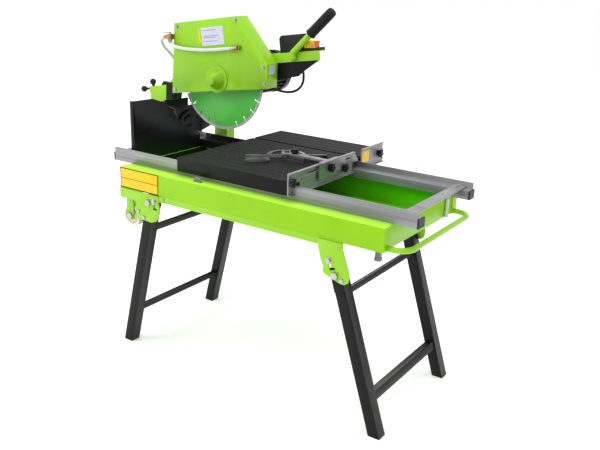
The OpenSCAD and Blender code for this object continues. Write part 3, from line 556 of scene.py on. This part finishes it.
def build_labels():
    """Plain label plates on the guard, with grey bars in place of print."""
    y = GUARD_FACE_Y
    add_plates("guard_label", [((294, y - 0.6, 149), (390, y, 209))],
               "head", "label_white", 0.0002, on_head)
    bars = ((199, 304, 360), (180, 304, 368), (175, 304, 356), (163, 304, 362))
    add_plates("guard_label_bars", [((x0, y - 0.8, z - 1.2), (x1, y - 0.6, z + 1.2)) for z, x0, x1 in bars],
               "head", "label_grey", 0.0001, on_head)
    add_plates("guard_label_strip", [((281, y - 0.6, 160), (289, y, 205))],
               "head", "yellow_panel", 0.0002, on_head)

    def on_guard_end(x, across, z):
        """A point off the guard's sloping end."""
        return on_head(545 + (z + 3) * 12 / 77 + x, across, z)

    add_plates("guard_end_label", [((0, 166, 41), (0.8, 198, 71))],
               "head", "label_white", 0.0002, on_guard_end)


def build_panel_border():
    """Dark border and middle line of the coloured panel on the tub's apron."""
    x0, x1, z0, z1 = -468, -307, 542, 605
    y0, y1 = -229.4, -229
    wide = 2.4
    lines = (((x0, z0), (x1, z0 + wide)), ((x0, z1 - wide), (x1, z1)), ((x0, z0), (x0 + wide, z1)),
             ((x1 - wide, z0), (x1, z1)), ((x0, 572), (x1, 573.6)))
    add_plates("side_panel_border", [((a[0], y0, a[1]), (b[0], y1, b[1])) for a, b in lines],
               "frame", "black_paint", 0.0001)


def build_motor_details():
    """Ring round the motor's cover, and its four screws."""
    axis = Vector((0, 1, 0))
    bm = bmesh.new()
    ring = [(0, 76.0), (1.5, 77.0), (6.5, 77.0), (8, 76.0)]
    add_turned(bm, on_head(BLADE[0], MOTOR_END_Y, BLADE[2]), axis, ring, 56)
    piece = add_mesh("motor_cover_ring", bm, "head", "black_plastic", smooth=True)
    bm = bmesh.new()
    for a in (45, 135, 225, 315):
        x = BLADE[0] + 71 * math.cos(math.radians(a))
        z = BLADE[2] + 71 * math.sin(math.radians(a))
        add_turned(bm, on_head(x, 504, z), axis, [(-8, 3.6), (0.2, 3.6), (1.0, 2.6)], 14)
    piece = add_mesh("motor_cover_screws", bm, "head", "zinc", smooth=True)


def build_hose_fittings():
    """Clamps on the hose ends and the ribbed nut on the valve."""
    bm = bmesh.new()
    along = head_turn() @ Vector((1, 0, 0))
    for x in (424, 432):
        add_turned(bm, on_head(x, 143, 134), along, [(0, 6.6), (0.4, 7.3), (3.6, 7.3), (4, 6.6)], 20)
    down = head_turn() @ Vector((0, 0, -1))
    add_turned(bm, on_head(158, 143, 175.6), down, [(0, 6.8), (0.4, 7.5), (4.6, 7.5), (5, 6.8)], 20)
    add_turned(bm, on_head(102, 234, 50), down, [(0, 6.8), (0.4, 7.5), (4.6, 7.5), (5, 6.8)], 20)
    piece = add_mesh("hose_clamps", bm, "head", "zinc", smooth=True)


def build_fence_details():
    """Blank sticker on the fence, and the tub's small clip."""
    add_plates("fence_sticker", [((153.9, 203, 640), (154.4, 246, 676))],
               "table", "yellow_panel", 0.0001)
    add_plates("tub_clip", [((-178, -214, 607), (-151, -206, 612)), ((-176, -211, 611), (-153, -209, 622))],
               "frame", "drain_grey", 0.0008)


def build_gauge_edges():
    """Bright upper edges of the gauge's fences and the rim of its dial."""
    turn = Matrix.Rotation(math.radians(41.5), 4, "Z")

    def on_gauge(x, y, z):
        """A point given from the gauge's centre, along its fences."""
        return at(12, -8, 0) + turn @ (Vector((x, y, z)) / 1000)

    bm = bmesh.new()
    add_box(bm, (-124, -7.2, 681.2), (124, -3.6, 683.8), on_gauge)
    for x in (-124, 122.4):
        add_box(bm, (x, -7.4, 664), (x + 1.6, -3.6, 683.8), on_gauge)
    steps = 30
    rims = []
    for radius in (51, 58.2):
        rims.append([bm.verts.new(on_gauge(radius * math.cos(a), radius * math.sin(a), 683.75))
                     for a in (math.radians(2 + 176 * i / steps) for i in range(steps + 1))])
    for i in range(steps):
        bm.faces.new((rims[0][i], rims[0][i + 1], rims[1][i + 1], rims[1][i]))
    piece = add_mesh("gauge_edges", bm, "gauge_arm", "zinc")


def build_painted_shade_sheets():
    """Black sheets of painted shade on the bare left end of the rear rail and inside the tub's left end,
    where these lie in shade and dark reflection.
    """
    # Painted shade: thin black sheets laid over the dark places of the rail and the tub.
    add_plates("painted_shade_sheets", [((-463.5, -179, 545), (-463.3, 179, 606.8)),
                             ((-466, 147, 633), (-264, 177.5, 633.2)),
                             ((-466, 177.3, 633.2), (-264, 177.5, 651)),
                             ((-466, 177.3, 651), (-264, 181, 651.2)),
                             ((-466, 146.8, 608), (-264, 147, 633.2))],
               "frame", "black_sheet")


build_grip()
build_labels()
build_panel_border()
build_motor_details()
build_hose_fittings()
build_fence_details()
build_gauge_edges()
build_painted_shade_sheets()
